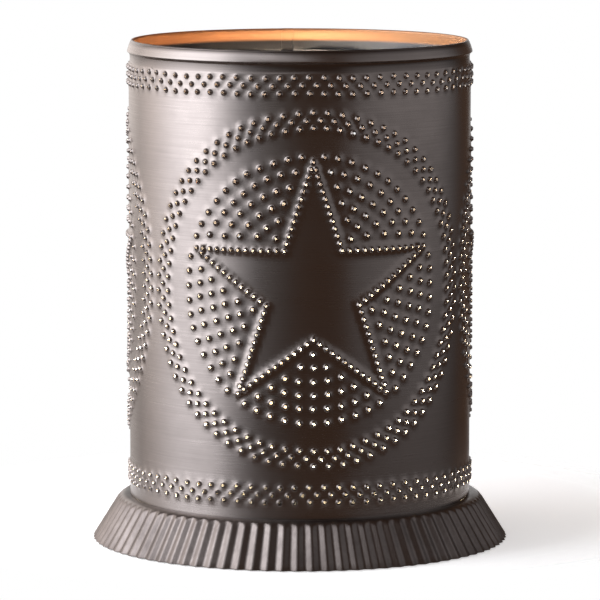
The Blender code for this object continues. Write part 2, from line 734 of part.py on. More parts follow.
def make_bulb(contact_top):
    here = (LAMP_X, LAMP_Y, 0)
    tip_low = contact_top + GAP
    tip_high = tip_low + BULB_TIP_LENGTH
    tip = [(0, tip_low), (BULB_TIP_R / 2, tip_low), (BULB_TIP_R, tip_low + BULB_TIP_R / 2)]
    turned("bulb_tip", tip + [(BULB_TIP_R, tip_high), (0, tip_high)], 10, ZINC, place=here)
    cap_low = tip_high + GAP
    disc_top = cap_low + BULB_DISC_HEIGHT
    inner = BULB_CAP_R - BULB_THREAD_DEPTH - BULB_CAP_SHEET
    lip_low = cap_low + BULB_CAP_SHEET
    disc_high = disc_top - GAP
    disc = [(0, cap_low), (BULB_TIP_R, cap_low), (BULB_DISC_R, lip_low), (BULB_DISC_R, disc_high)]
    turned("bulb_insulator", disc + [(0, disc_high)], 12, PHENOLIC, place=here)
    thread_low = disc_top
    thread_high = cap_low + BULB_CAP_LENGTH
    cap = [(BULB_DISC_R + GAP, lip_low)]
    pitch = (thread_high - thread_low) / (2 * BULB_THREADS + 1)
    root = BULB_CAP_R - BULB_THREAD_DEPTH
    for i in range(2 * BULB_THREADS + 2):
        cap.append((root if i % 2 == 0 else BULB_CAP_R, thread_low + i * pitch))
    cap += [(inner, thread_high), (inner, disc_top), (BULB_DISC_R + GAP, disc_top)]
    turned("bulb_cap", cap, 12, BRASS, closed=True, place=here)
    glass_low = disc_top + GAP
    glass_high = thread_high + GAP + BULB_GLASS_LENGTH
    outside = glass_outline(thread_high + GAP, glass_high, 0.0)
    inside = glass_outline(thread_high + GAP, glass_high, BULB_GLASS_WALL)
    glass = [(BULB_NECK_R, glass_low)] + outside + inside[::-1] + [(BULB_NECK_R - BULB_GLASS_WALL, glass_low)]
    turned("bulb_glass", glass, 12, GLASS, closed=True, place=here)
    stem_low = glass_low
    stem_high = stem_low + BULB_STEM_LENGTH
    stem = [(0, stem_low), (BULB_STEM_R, stem_low), (BULB_STEM_R / 2, stem_high), (0, stem_high)]
    turned("bulb_stem", stem, 8, GLASS, place=here)
    x = FILAMENT_SPAN / 2
    top = stem_high + FILAMENT_RISE
    foot = stem_high + GAP
    outline = [
        (-FILAMENT_FOOT / 2, foot),
        (FILAMENT_FOOT / 2, foot),
        (x, top - FILAMENT_WIRE),
        (x, top + FILAMENT_WIRE),
        (0, top - 2 * FILAMENT_WIRE),
        (-x, top + FILAMENT_WIRE),
        (-x, top - FILAMENT_WIRE),
    ]
    extruded("bulb_filament", outline, 2 * FILAMENT_WIRE, ZINC, place=here)


def glass_outline(low, high, wall):
    """Outline of the bulb's glass above its neck: a short flare, then a candle-like swell to a round top."""
    length = high - low
    shape = ((0.10, 0.62), (0.24, 0.92), (0.38, 1.00), (0.55, 0.93), (0.72, 0.74), (0.87, 0.46), (0.96, 0.20))
    points = [(BULB_NECK_R - wall, low)]
    for along, share in shape:
        points.append((BULB_GLASS_R * share - wall, low + (length - wall) * along))
    points.append((0, high - wall))
    return points


def rivet(name, place, top):
    """A round-headed rivet through what lies on the pan, with its tail spread under the pan."""
    head_low = top + GAP
    tail_top = PAN_UNDER - GAP
    profile = [
        (0, tail_top - RIVET_HEAD),
        (RIVET_HEAD_R * TAIL_SPREAD, tail_top - RIVET_HEAD),
        (RIVET_HEAD_R * TAIL_SPREAD, tail_top),
        (RIVET_SHANK_R, tail_top),
        (RIVET_SHANK_R, head_low),
        (RIVET_HEAD_R, head_low),
        (RIVET_HEAD_R * HEAD_CROWN, head_low + RIVET_HEAD),
        (0, head_low + RIVET_HEAD),
    ]
    turned(name, profile, 8, ZINC, place=place)


def tab_rivet_radius():
    return SHADE_INNER_R - GAP - TAB_FOOT / 2


def make_tabs():
    face = SHADE_INNER_R - GAP
    low = ON_PAN
    outline = [
        (face - TAB_FOOT, low),
        (face, low),
        (face, low + TAB_HEIGHT),
        (face - TAB_SHEET, low + TAB_HEIGHT),
        (face - TAB_SHEET, low + TAB_SHEET),
        (face - TAB_FOOT, low + TAB_SHEET),
    ]
    # a flat tab's corners would reach into the round wall
    sagging = face - math.sqrt(face**2 - (TAB_WIDTH / 2) ** 2)
    outline = [(x - sagging, z) for x, z in outline]
    for i, degrees in enumerate(TAB_TURNS):
        turn = math.radians(degrees)
        tab = extruded(f"locating_tab_{i + 1}", outline, TAB_WIDTH, ZINC, turn=(0, 0, turn))
        place = on_ring(tab_rivet_radius(), degrees, 0)
        cut(tab, RIVET_SHANK_R + HOLE_PLAY, (place[0], place[1], low), 2 * TAB_SHEET)
        rivet(f"tab_rivet_{i + 1}", place, low + TAB_SHEET)


def make_cover():
    radius = skirt_radius(COVER_TOP) - PAN_WALL - COVER_PLAY
    cover = turned("bottom_cover", rod(radius, COVER_UNDER, COVER_TOP), 28, STEEL)
    for i, degrees in enumerate(POST_TURNS):
        place = on_ring(POST_RING_R, degrees, 0)
        cut(cover, POST_BORE_R + HOLE_PLAY, (place[0], place[1], COVER_UNDER), 2 * COVER_SHEET)
        cover_post(f"cover_post_{i + 1}", place)
        cover_screw(f"cover_screw_{i + 1}", place)
    for i in range(FEET):
        place = on_ring(FOOT_RING_R, FOOT_TURN + 360 * i / FEET, 0)
        foot = [(0, 0), (FOOT_R - FOOT_TAPER, 0), (FOOT_R, FOOT_HEIGHT), (0, FOOT_HEIGHT)]
        turned(f"foot_{i + 1}", foot, 12, RUBBER, place=place)


def cover_post(name, place):
    """A post under the pan, riveted through it, and bored from below for the cover's screw."""
    low = COVER_TOP + GAP
    under = PAN_UNDER - GAP
    head_low = PAN_TOP + GAP
    bore_top = low + POST_BORE_DEPTH
    profile = [
        (0, bore_top),
        (POST_BORE_R, bore_top),
        (POST_BORE_R, low),
        (POST_R, low),
        (POST_R, under),
        (POST_SHANK_R, under),
        (POST_SHANK_R, head_low),
        (RIVET_HEAD_R, head_low),
        (RIVET_HEAD_R * HEAD_CROWN, head_low + RIVET_HEAD),
        (0, head_low + RIVET_HEAD),
    ]
    turned(name, profile, 8, ZINC, place=place)


def cover_screw(name, place):
    head_top = COVER_UNDER - GAP
    end = head_top + SCREW_LENGTH
    shank = POST_BORE_R - GAP
    profile = [
        (0, head_top - SCREW_HEAD),
        (SCREW_HEAD_R * HEAD_CROWN, head_top - SCREW_HEAD),
        (SCREW_HEAD_R, head_top),
        (shank, head_top),
        (shank, end - shank),
        (0, end),
    ]
    turned(name, profile, 8, ZINC, place=place)


def grommet_place():
    """Middle of the grommet's groove, in the rear of the pan's skirt."""
    height = PAN_TOP - GROMMET_DROP
    return (0, skirt_radius(height) - PAN_WALL / 2, height)


def grommet_turn():
    """Turns +Z to the skirt's outward normal at the rear."""
    return (SLOPE - math.pi / 2, 0, 0)


def groove_ring(bore, outer, lip, groove, flange):
    """Profile of a rubber plug with a groove round the sheet's edge, centred on z = 0."""
    half = groove / 2
    full = half + flange
    return [
        (bore, -full),
        (outer, -full),
        (outer, -half),
        (outer - lip, -half),
        (outer - lip, half),
        (outer, half),
        (outer, full),
        (bore, full),
    ]


def slot_outline(long, wide):
    """A slot with round ends, long in X and wide in Z."""
    reach = (long - wide) / 2
    points = []
    for side in (1, -1):
        for i in range(5):
            angle = side * (math.pi / 2 - math.pi * i / 4)
            points.append((side * (reach + wide / 2 * math.cos(angle)), wide / 2 * math.sin(angle)))
    return points


def make_wiring():
    sheet = PAN_SHEET + 2 * GAP
    bushing = groove_ring(BUSHING_BORE, BUSHING_R, BUSHING_GROOVE, sheet, BUSHING_LIP)
    middle = (BUSHING_X, HEATER_Y, PAN_TOP - PAN_SHEET / 2)
    turned("lead_bushing", bushing, 10, RUBBER, closed=True, place=middle)
    skirt = PAN_SHEET + FLUTE_DEPTH + 2 * GAP
    profile = groove_ring(0, GROMMET_R, GROMMET_LIP, skirt, GROMMET_FLANGE)
    grommet = turned("cord_grommet", profile, 12, RUBBER, place=grommet_place(), turn=grommet_turn())
    outline = slot_outline(CORD_WIDTH + 2 * CORD_PLAY, CORD_THICK + 2 * CORD_PLAY)
    lean = (SLOPE, 0, 0)
    slot = extruded("cord_slot_cutter", outline, 4 * GROMMET_R, RUBBER, place=grommet_place(), turn=lean)
    cut_by(grommet, slot)
    axis = PAN_UNDER - SPLICE_DROP
    end = SPLICE_LENGTH / 2
    splice = [(0, -end), (SPLICE_NOSE_R, -end), (SPLICE_R, -end + SPLICE_NOSE), (SPLICE_R, end), (0, end)]
    for i, side in enumerate((-1, 1)):
        place = (side * SPLICE_SPREAD, SPLICE_Y, axis)
        turned(f"splice_cap_{i + 1}", splice, 8, NYLON, place=place, turn=(math.pi / 2, 0, 0))


def lead(name, route):
    """An insulated lead through these points."""
    points = [Vector(point) for point in route]
    slopes = []
    for i, point in enumerate(points):
        before = points[max(i - 1, 0)]
        after = points[min(i + 1, len(points) - 1)]
        slopes.append((after - before) / 6)
    path = [points[0]]
    for i in range(len(points) - 1):
        knots = (points[i], points[i] + slopes[i], points[i + 1] - slopes[i + 1], points[i + 1])
        path += interpolate_bezier(*knots, LEAD_POINTS)[1:]
    curve = bpy.data.curves.new(name, "CURVE")
    curve.dimensions = "3D"
    curve.bevel_depth = LEAD_R
    curve.bevel_resolution = 1
    curve.use_fill_caps = True
    spline = curve.splines.new("POLY")
    spline.points.add(len(path) - 1)
    for spot, place in zip(spline.points, path):
        spot.co = (*place, 1)
    obj = bpy.data.objects.new(name, curve)
    bpy.context.scene.collection.objects.link(obj)
    dress(obj, PHENOLIC)


def between(start, end, share):
    return start + (end - start) * share


def make_leads():
    """From each splice one lead to the lamp and one to the heater."""
    axis = PAN_UNDER - SPLICE_DROP
    mouth = SPLICE_Y - SPLICE_LENGTH / 2 - GAP
    apart = LEAD_R + GAP
    for i, side in enumerate((-1, 1)):
        start = side * SPLICE_SPREAD - apart
        end = LAMP_X + side * apart
        lamp = [
            (start, mouth, axis),
            (start, mouth - LEAD_BEND, axis - LEAD_SAG),
            (end + side * LEAD_SWAY, between(mouth, LAMP_Y, 0.64), axis - LEAD_SAG * 0.67),
            (end + side * LEAD_EASE, between(mouth, LAMP_Y, 0.86), axis - LEAD_SAG * 0.33),
            (end, between(mouth, LAMP_Y, 0.97), axis),
            (end, LAMP_Y, PAN_UNDER),
            (end, LAMP_Y, SOCKET_FOOT + SOCKET_FLOOR - LEAD_R),
        ]
        lead(f"lamp_lead_{i + 1}", lamp)
        start = side * SPLICE_SPREAD + apart
        end = BUSHING_X + side * 1.5 * LEAD_R
        heater = [
            (start, mouth, axis),
            (start + LEAD_SPREAD, mouth - LEAD_SWING, axis),
            (end - LEAD_CROSS, between(mouth, HEATER_Y, 0.55), axis),
            (end, between(mouth, HEATER_Y, 0.89), axis + LEAD_LIFT),
            (end, HEATER_Y, PAN_UNDER),
            (end, HEATER_Y, PAN_TOP + LEAD_TAIL),
        ]
        lead(f"heater_lead_{i + 1}", heater)


def main():
    clear_scene()
    make_pan()
    make_shade()
    make_hot_plate()
    make_bulb(make_socket())
    make_tabs()
    make_cover()
    make_wiring()
    make_leads()


main()
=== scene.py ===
"""Looks of the candle warmer: punched sleeve, fluted pan, plate, bulb, materials, lights and camera."""

import json
import math

import bmesh
import bpy
import numpy as np
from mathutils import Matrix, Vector
from mathutils.geometry import delaunay_2d_cdt


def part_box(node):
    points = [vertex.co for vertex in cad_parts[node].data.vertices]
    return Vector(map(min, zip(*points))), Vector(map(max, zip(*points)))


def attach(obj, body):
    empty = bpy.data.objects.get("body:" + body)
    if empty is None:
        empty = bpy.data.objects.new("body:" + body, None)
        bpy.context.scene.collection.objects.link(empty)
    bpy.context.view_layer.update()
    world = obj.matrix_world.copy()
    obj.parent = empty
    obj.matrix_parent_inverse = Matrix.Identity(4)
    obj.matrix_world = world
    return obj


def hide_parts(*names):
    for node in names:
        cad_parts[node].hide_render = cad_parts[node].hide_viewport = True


# Sleeve, in metres and in the sheet laid flat
SLEEVE_R = 0.0690
SHEET = 0.0006
SEAM_LAP = 0.0050
SEAM_STEP = 0.00015  # from the lap's upper sheet down to the lower one
LAP_SHORT = 0.0001  # a point this far inside the lap's edge is on the upper sheet
GRID = 0.0017  # between filler points on bare sheet
RIM_DROP = 0.0100
SLEEVE_SINK = 0.00028  # closes the gap that the CAD leaves between sleeve and pan
FOOT_LIFT = 0.00026  # of the sleeve's sides off the pan
INNER, BARE = 1, 2  # the sleeve's materials after the blackened one
INWARD = -0.2  # a face whose normal turns further in than this has the inner material

# Medallion
MEDALLIONS = 3
MEDALLION_TURN = 4.4  # degrees from the front towards +X
MEDALLION_RISE = 0.0905  # its middle above the sleeve's foot
STAR_POINTS = 5
STAR_R = 0.0505
NOTCH_R = 0.0193
STAR_PITCH = 0.00305
RING_RADII = (0.0695, 0.0666, 0.0636)
RING_DOTS = 74
FILL_R = 0.0524  # outermost arc between two arms
FILL_STEP = 0.00544
FILL_PITCHES = (0.0057, 0.0056, 0.0056, 0.0055, 0.0050, 0.0050)
FILL_DOTS = 11  # on the outermost arc, and two fewer on each one further in
UNEVEN = 0.00022  # the most that a dot punched by hand is out of its row

# Bands of three staggered rows, above the sleeve's foot
BAND_ROWS = (0.0125, 0.0096, 0.0067)
TOP_BAND_ROWS = (0.1736, 0.1706, 0.1675)
BAND_DOTS = 25  # on each third of the sleeve

# One punched dot
DOT_SIDES = 10
DOT_HOLE_R = 0.00058
STAR_HOLE_R = 0.00050
BURR = 0.00015  # thickness of the sheet at a hole's lip
DOT_SHEET = 0.00035  # and at its dome's foot
DOT_HEIGHT = 0.00072
DOT_DOME_R = 0.00105
DOT_BASE_R = 0.0024
DOT_STEEP = 0.4  # share of the dome's rise that curves
STAR_MOUND = (0.00090, 0.0016)  # height and reach of the low mound round a dot
RING_MOUND = (0.00052, 0.0017)
FILL_MOUND = (0.00042, 0.0018)
BAND_MOUND = (0.00034, 0.0016)
MOUND_MOST = 0.0010
DOT_SHARE = 0.46  # of the way to the next dot that one may cover
EDGE_SHARE = 0.9  # and of the way to the panel's edge
DOME_SHARE = 0.92  # of a dot's base that its dome may cover
WIDE_BASE = 1.5  # a base this much wider than its dome gets a loop more
DOT_CLEAR = 0.0005  # from a dot's base to the nearest filler point
ACROSS, UP, MOUND, REACH, HOLE = range(5)  # columns of the table of dots

# Pan
FLUTES = 88
FLUTE_DEPTH = 0.0010
FLUTE_TURN = -0.6  # degrees from +X to the first crest
FLUTE_ROUND = 0.14  # of the pitch, from a crest's or valley's line to its flat flank
PAN_TOP_R = 0.0730
PAN_SHOULDER = 0.0032
PAN_SHEET = 0.0008
PAN_EDGE = 0.0002  # chamfer at the foot
SHOULDER_STEPS = 8
SHOULDER_PLAIN = 3  # of these steps that the flutes don't reach
FLANK_RINGS = (0.08, 0.3, 0.6, 0.85, 0.97)

# Bulb and plate
LAMP_X = -0.0096
LAMP_Y = -0.0480
LAMP_POWER = 1.7
LAMP_COLOUR = (1.0, 0.91, 0.74)
BULB_R = 0.0110
BULB_NECK_R = 0.0041
BULB_WALL = 0.0008
BULB_WIDEST = 0.38  # of the way from the glass's foot to its tip
HEATER_Y = 0.0140
PLATE_WALL = 0.0015
GROOVE = 0.0003  # depth of the rings turned into the plate

# Colours, most of them the dark and the pale end of a surface's clouds
BLACKENED = ((0.200, 0.176, 0.164), (0.262, 0.231, 0.215))
WORN = (0.30, 0.27, 0.25)
# painted shade for the outside of the neck
NECK_PAINTED_SHADE = (0.085, 0.072, 0.066)
PRESSED = ((0.118, 0.101, 0.094), (0.175, 0.152, 0.142))
PAN_TOP = (0.50, 0.46, 0.40)
# painted lamp light on the inner wall low down, and painted shade for it higher up
INNER_WALL = ((0.53, 0.48, 0.40), (0.70, 0.65, 0.56))
INNER_PAINTED_SHADE = (0.140, 0.104, 0.092)
# painted orange lamp glow on the hem's inside, paler towards +X
HEM_PAINTED_GLOW = ((0.46, 0.19, 0.077), (0.58, 0.24, 0.10))
HEM_PAINTED_GLOW_RIGHT = (0.50, 0.29, 0.172)
# painted shade inside the neck, with a painted cool reflection towards +X
INNER_NECK_PAINTED_SHADE = ((0.050, 0.047, 0.048), (0.080, 0.075, 0.078))
INNER_NECK_PAINTED_REFLECTION = (0.24, 0.26, 0.29)
WHITE = (1.0, 1.0, 1.0)
WORLD_WARM = (0.108, 0.062, 0.040)

# Where the sleeve's inside changes from painted lamp light to painted shade: heights, and drops below the
# top
DIM_HEIGHTS = (0.075, 0.140)
DIM_SHARE = 0.93
DIM_LEAN = 0.2  # how much higher the dim part begins for each metre to the right
NECK_DROPS = (0.0130, 0.0095)
HEM_DROPS = (0.0055, 0.0045)

# Soft lights, in shares of half their width
BACK_END = -0.6  # the colour of the back changes from here
COLOUR_START = -0.1  # to here

# Floor
FLOOR_GLOW = 0.5
FLOOR_REACH = 0.18
FLOOR_MIDDLE = 0.06  # behind the object's axis

# Camera, fitted to the photograph
CAMERA_PLACE = (0.0001, -1.8490, 0.3258)
CAMERA_PITCH = 82.944
LENS = 275.5

# (outward, drop) over the hem, from the plain wall's outside over the top to its inside
RIM_OUTSIDE = (
    (0.0, RIM_DROP),
    (-0.00010, 0.0094),
    (-0.00036, 0.0086),
    (-0.00050, 0.0076),
    (-0.00048, 0.0066),
    (-0.00036, 0.0058),
    (-0.00018, 0.0053),
    (0.00020, 0.0050),
    (0.00054, 0.0048),
    (0.00062, 0.0045),
    (0.00058, 0.0042),
    (0.00024, 0.0031),
    (-0.00012, 0.0020),
    (-0.00060, 0.0009),
    (-0.00078, 0.0006),
    (-0.00086, 0.00055),
    (-0.00088, 0.00035),
    (-0.00110, 0.00008),
    (-0.00150, 0.0),
)
RIM_INSIDE = (
    (-0.00190, 0.00012),
    (-0.00215, 0.00045),
    (-0.00216, 0.0010),
    (-0.00170, 0.0026),
    (-0.00125, 0.0040),
    (-0.00112, 0.0048),
    (-0.00112, 0.0078),
    (-0.00085, 0.0090),
)

# (share of the largest radius, share of the height) up the bulb's glass
GLASS_SHAPE = (
    (0.38, 0.00),
    (0.45, 0.05),
    (0.60, 0.10),
    (0.78, 0.17),
    (0.90, 0.24),
    (0.97, 0.31),
    (1.00, 0.38),
    (0.98, 0.46),
    (0.92, 0.55),
    (0.83, 0.64),
    (0.72, 0.72),
    (0.58, 0.80),
    (0.44, 0.87),
    (0.29, 0.93),
    (0.17, 0.97),
    (0.02, 1.0),
)

# Soft lights. Azimuth is in degrees from the front towards +X, tilt leans the light over the object, and
# across and upward are the (share, level) stops of its glow.
SOFTBOXES = (
    {
        "name": "left_softbox",
        "azimuth": -78,
        "distance": 0.62,
        "size": (1.6, 0.87),
        "middle": 0.315,
        "glow": 4.7,
        "colour": (1.0, 1.02, 1.085),
        "back": (1.0, 0.93, 0.90),
        "across": (
            (0.0, 0.36),
            (0.23, 0.53),
            (0.34, 0.68),
            (0.41, 0.86),
            (0.47, 1.0),
            (0.60, 1.0),
            (0.66, 0.84),
            (0.73, 0.45),
            (0.82, 0.22),
            (0.91, 0.10),
            (1.0, 0.04),
        ),
        "upward": ((0.0, 0.56), (0.17, 0.60), (0.22, 0.68), (0.28, 1.0), (1.0, 1.0)),
    },
    {
        "name": "left_fill",
        "azimuth": -147,
        "distance": 0.80,
        "size": (0.5, 0.8),
        "middle": 0.25,
        "glow": 1.7,
        "colour": (1.0, 0.92, 0.88),
        "across": ((0.0, 0.8), (0.3, 1.0), (0.8, 1.0), (1.0, 0.4)),
        "upward": ((0.0, 0.40), (0.20, 0.50), (0.40, 1.0), (1.0, 1.0)),
    },
    {
        "name": "right_fill",
        "azimuth": 80,
        "distance": 0.85,
        "size": (1.9, 1.2),
        "middle": 0.45,
        "glow": 0.58,
        "colour": (1.0, 0.97, 1.0),
        "across": (
            (0.0, 0.7),
            (0.12, 0.8),
            (0.40, 0.95),
            (0.55, 1.0),
            (0.65, 1.0),
            (0.75, 0.78),
            (0.90, 0.4),
            (1.0, 0.25),
        ),
        "upward": ((0.0, 0.1), (0.07, 0.35), (0.15, 0.8), (0.21, 1.0), (0.40, 1.0), (0.60, 0.8), (1.0, 0.6)),
    },
    {
        "name": "high_softbox",
        "azimuth": -35,
        "distance": 0.82,
        "size": (1.64, 0.27),
        "middle": 0.674,
        "glow": 2.2,
        "colour": (1.0, 1.01, 1.06),
        "across": ((0.0, 0.85), (0.50, 1.0), (0.78, 0.55), (1.0, 0.2)),
        "upward": ((0.0, 0.5), (0.3, 1.0), (1.0, 1.0)),
        "tilt": 35,
    },
    {
        "name": "top_softbox",
        "azimuth": -55,
        "distance": 0.643,
        "size": (1.54, 0.28),
        "middle": 0.866,
        "glow": 2.6,
        "colour": (1.0, 1.01, 1.06),
        "across": (
            (0.0, 0.8),
            (0.26, 1.0),
            (0.45, 1.0),
            (0.58, 0.60),
            (0.72, 0.28),
            (0.90, 0.10),
            (1.0, 0.05),
        ),
        "upward": ((0.0, 1.0), (1.0, 1.0)),
        "tilt": 50,
    },
    {
        "name": "front_fill",
        "azimuth": -19,
        "distance": 1.1,
        "size": (0.5, 0.45),
        "middle": 0.125,
        "glow": 0.55,
        "colour": (1.0, 0.96, 0.95),
        "across": ((0.0, 1.0), (0.5, 0.75), (1.0, 0.2)),
        "upward": ((0.0, 0.0), (0.2, 0.15), (0.35, 0.8), (0.5, 1.0), (1.0, 0.8)),
    },
)


def collar(first, second):
    """Faces between two closed loops of as many points."""
    count = len(first)
    return [[first[i], first[(i + 1) % count], second[(i + 1) % count], second[i]] for i in range(count)]


def new_piece(name, verts, faces, body, nodes=(), smooth=35):
    """A mesh piece that rides on a body and stands for these nodes."""
    mesh = bpy.data.meshes.new(name)
    mesh.from_pydata([tuple(v) for v in verts], [], [tuple(f) for f in faces])
    mesh.update()
    bm = bmesh.new()
    bm.from_mesh(mesh)
    bmesh.ops.remove_doubles(bm, verts=bm.verts, dist=2e-7)
    bmesh.ops.recalc_face_normals(bm, faces=bm.faces)
    bm.to_mesh(mesh)
    bm.free()
    mesh.shade_smooth()
    mesh.set_sharp_from_angle(angle=math.radians(smooth))
    obj = bpy.data.objects.new(name, mesh)
    bpy.context.scene.collection.objects.link(obj)
    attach(obj, body)
    if nodes:
        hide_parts(*nodes)
    return obj


def turned(name, profile, sides, body, nodes, material, place=(0, 0)):
    """A turned piece from the (radius, height) points of its closed profile."""
    verts = []
    for radius, height in profile:
        for i in range(sides):
            angle = math.tau * i / sides
            verts.append((place[0] + radius * math.cos(angle), place[1] + radius * math.sin(angle), height))
    loops = [range(j * sides, (j + 1) * sides) for j in range(len(profile))]
    faces = []
    for first, second in zip(loops, loops[1:] + loops[:1]):
        faces += collar(first, second)
    piece = new_piece(name, verts, faces, body, nodes)
    piece.data.materials.append(material)
    return piece


def star_corners():
    corners = []
    for i in range(2 * STAR_POINTS):
        radius = NOTCH_R if i % 2 else STAR_R
        angle = math.pi * i / STAR_POINTS
        corners.append(Vector((radius * math.sin(angle), radius * math.cos(angle))))
    return corners


def star_dots():
    corners = star_corners()
    dots = []
    for start, end in zip(corners, corners[1:] + corners[:1]):
        steps = round((end - start).length / STAR_PITCH)
        dots += [start.lerp(end, i / steps) for i in range(steps)]
    return dots


def uneven(dots):
    """The same dots, each a little out of place."""
    made = []
    for i, dot in enumerate(dots):
        made.append(dot + UNEVEN * Vector((math.sin(5.1 * i), math.sin(7.3 * i + 1.0))))
    return made


def ring_dots():
    dots = []
    for row, radius in enumerate(RING_RADII):
        for i in range(RING_DOTS):
            angle = math.tau * (i + 0.5 * (row % 2)) / RING_DOTS
            dots.append(Vector((radius * math.sin(angle), radius * math.cos(angle))))
    return uneven(dots)


def fill_dots():
    """Arcs between the star's arms, from just outside its tips inwards."""
    dots = []
    for arm in range(STAR_POINTS):
        middle = math.tau * (arm + 0.5) / STAR_POINTS
        for row, count in enumerate(range(FILL_DOTS, 0, -2)):
            radius = FILL_R - row * FILL_STEP
            for i in range(count):
                angle = middle + (i - (count - 1) / 2) * FILL_PITCHES[row] / radius
                dots.append(Vector((radius * math.sin(angle), radius * math.cos(angle))))
    return uneven(dots)


def band_dots(third):
    dots = []
    for rows in (BAND_ROWS, TOP_BAND_ROWS):
        for row, rise in enumerate(rows):
            shift = 0.75 if row % 2 else 0.25
            dots += [Vector(((i + shift) * third / BAND_DOTS, rise)) for i in range(BAND_DOTS)]
    return uneven(dots)


def panel_dots(third):
    """The table of the dots on one third of the sheet."""
    middle = Vector((third / 2, MEDALLION_RISE))
    table = [(*(middle + dot), *STAR_MOUND, STAR_HOLE_R) for dot in star_dots()]
    table += [(*(middle + dot), *RING_MOUND, DOT_HOLE_R) for dot in ring_dots()]
    table += [(*(middle + dot), *FILL_MOUND, DOT_HOLE_R) for dot in fill_dots()]
    table += [(*dot, *BAND_MOUND, DOT_HOLE_R) for dot in band_dots(third)]
    return np.array(table)


def relief(points, dots):
    """How far the sheet stands out at these points: a dome at each dot, on low mounds that run together."""
    heights = np.zeros(len(points))
    batch = 4000
    for start in range(0, len(points), batch):
        part = points[start : start + batch]
        apart = np.hypot(part[:, None, 0] - dots[None, :, ACROSS], part[:, None, 1] - dots[None, :, UP])
        hole = dots[apart.argmin(axis=1), HOLE]
        share = np.clip((apart.min(axis=1) - hole) / (DOT_DOME_R - hole), 0, 1)
        dome = DOT_HEIGHT * (1 - (1 - DOT_STEEP) * share - DOT_STEEP * share * share)
        mound = (dots[:, MOUND] * np.exp(-((apart / dots[:, REACH]) ** 2))).sum(axis=1)
        heights[start : start + batch] = dome + MOUND_MOST * np.tanh(mound / MOUND_MOST)
    return heights


def relief_slopes(points, dots):
    """The relief's rise along and up the sheet at these points."""
    step = 0.00004
    across = np.array([step, 0.0])
    upward = np.array([0.0, step])
    along = (relief(points + across, dots) - relief(points - across, dots)) / (2 * step)
    climb = (relief(points + upward, dots) - relief(points - upward, dots)) / (2 * step)
    return along, climb


def dot_bases(dots, third):
    """Radius of each dot's own faces, kept off its neighbours and the panel's edges."""
    across, up = dots[:, ACROSS], dots[:, UP]
    apart = np.hypot(across[:, None] - across[None, :], up[:, None] - up[None, :])
    np.fill_diagonal(apart, 1.0)
    room = np.minimum(apart.min(axis=1) * DOT_SHARE, np.minimum(across, third - across) * EDGE_SHARE)
    return np.minimum(room, DOT_BASE_R)


def panel_columns(third):
    """Places across the panel of the filler points, with two at each edge of the lap."""
    edge = SEAM_LAP / 2
    columns = list(np.linspace(0, third, round(third / GRID) + 1))
    columns += [edge, edge - SEAM_STEP, third - edge, third - edge + SEAM_STEP]
    return sorted(columns)


def bare_points(columns, rows, dots, bases):
    """Points all along the panel's edges and on the plain sheet between the dots."""
    points = []
    for y in rows:
        for x in columns:
            edge = x in (columns[0], columns[-1]) or y in (rows[0], rows[-1])
            apart = np.hypot(dots[:, ACROSS] - x, dots[:, UP] - y)
            if edge or (apart > bases + DOT_CLEAR).all():
                points.append(Vector((x, y)))
    return points


def spot_key(point):
    return round(point.x * 1e7), round(point.y * 1e7)


class Panel:
    """One third of the sheet laid flat.

    Its spots are (across, up) points. The faces in sheet are on both sides of the metal, and those in domes
    on the outside alone. Each of the lips is one dot's three loops of spots: its base, its dome's foot and
    its hole.
    """

    def __init__(self, third, height):
        dots = panel_dots(third)
        bases = dot_bases(dots, third)
        rows = list(np.linspace(0, height, round(height / GRID) + 1))
        self.columns = panel_columns(third)
        points = bare_points(self.columns, rows, dots, bases)
        angles = [-math.tau * (k + 0.5) / DOT_SIDES for k in range(DOT_SIDES)]
        corners = [(math.sin(angle), math.cos(angle)) for angle in angles]
        rims = []
        for dot, base in zip(dots, bases):
            rims.append(list(range(len(points), len(points) + DOT_SIDES)))
            middle = Vector(dot[:2])
            points += [middle + float(base) * Vector(corner) for corner in corners]
        flat, _, faces, _, _, sources = delaunay_2d_cdt(points, [], rims, 0, 1e-9, True)
        self.sheet = [list(face) for face, source in zip(faces, sources) if not source]
        index = {spot_key(point): i for i, point in enumerate(flat)}
        spots = [(point.x, point.y) for point in flat]
        self.domes = []
        self.lips = []
        for dot, base, rim in zip(dots, bases, rims):
            loop = [index[spot_key(points[i])] for i in rim]
            self.lips.append(self.add_dome(spots, loop, dot, base, corners))
        self.spots = np.array(spots)
        self.stand = relief(self.spots, dots)
        self.along, self.climb = relief_slopes(self.spots, dots)
        self.depth = np.full(len(spots), SHEET)
        for _, foot, hole in self.lips:
            self.depth[foot] = DOT_SHEET
            self.depth[hole] = BURR

    def add_dome(self, spots, base_loop, dot, base, corners):
        """Loops of spots from a dot's base in to its hole, with the faces between them."""
        dome = min(DOT_DOME_R, base * DOME_SHARE)
        radii = [dome, (dome + dot[HOLE]) / 2, dot[HOLE]]
        if base > WIDE_BASE * dome:
            radii.insert(0, (base + dome) / 2)
        loops = [base_loop]
        for radius in radii:
            inward = list(range(len(spots), len(spots) + DOT_SIDES))
            spots += [(dot[ACROSS] + radius * x, dot[UP] + radius * y) for x, y in corners]
            self.domes += collar(loops[-1], inward)
            loops.append(inward)
        foot, _, hole = loops[-3:]
        return base_loop, foot, hole


